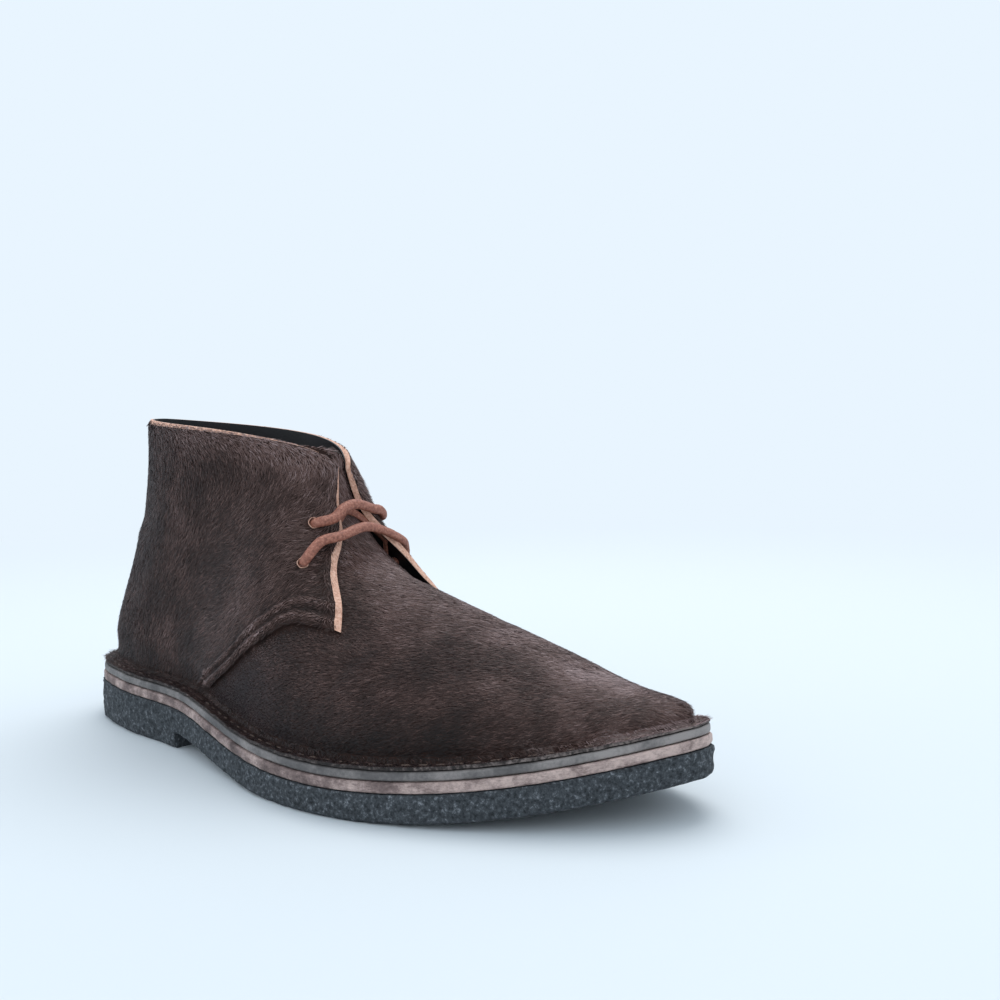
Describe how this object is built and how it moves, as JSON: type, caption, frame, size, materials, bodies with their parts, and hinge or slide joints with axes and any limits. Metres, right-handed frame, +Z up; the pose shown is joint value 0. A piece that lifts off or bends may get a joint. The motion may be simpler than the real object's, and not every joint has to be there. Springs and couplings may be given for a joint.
{
  "type": "chukka boot",
  "caption": "Ankle-high hair-on hide boot with an open laced throat, a flange turned out and stitched down, and a layered crepe sole with a heel lift.",
  "frame": {"origin": "middle of the boot's length and width, on the floor that it stands on", "axes": "+X from heel to toe, +Y to the inner (medial) side of this right boot, +Z up"},
  "size_m": [0.3, 0.1064, 0.131],
  "materials": {
    "crepe": "matt charcoal plantation crepe, cut and ground at the edge",
    "midsole_leather": "natural sole leather, raw sanded edge",
    "runner": "smooth grey welt leather with a rounded edge",
    "insole_leather": "smooth near-black lining leather",
    "hide": "dark brown hair-on hide with a short grey sheen and raw cut edges",
    "lace": "reddish-brown round waxed lace"
  },
  "bodies": {
    "root": {"outsole": "crepe", "heel_lift": "crepe", "midsole": "midsole_leather", "runner": "runner", "insole": "insole_leather", "upper": "hide", "tongue": "hide", "lace_lower": "lace", "lace_upper": "lace"}
  },
  "joints": []
}
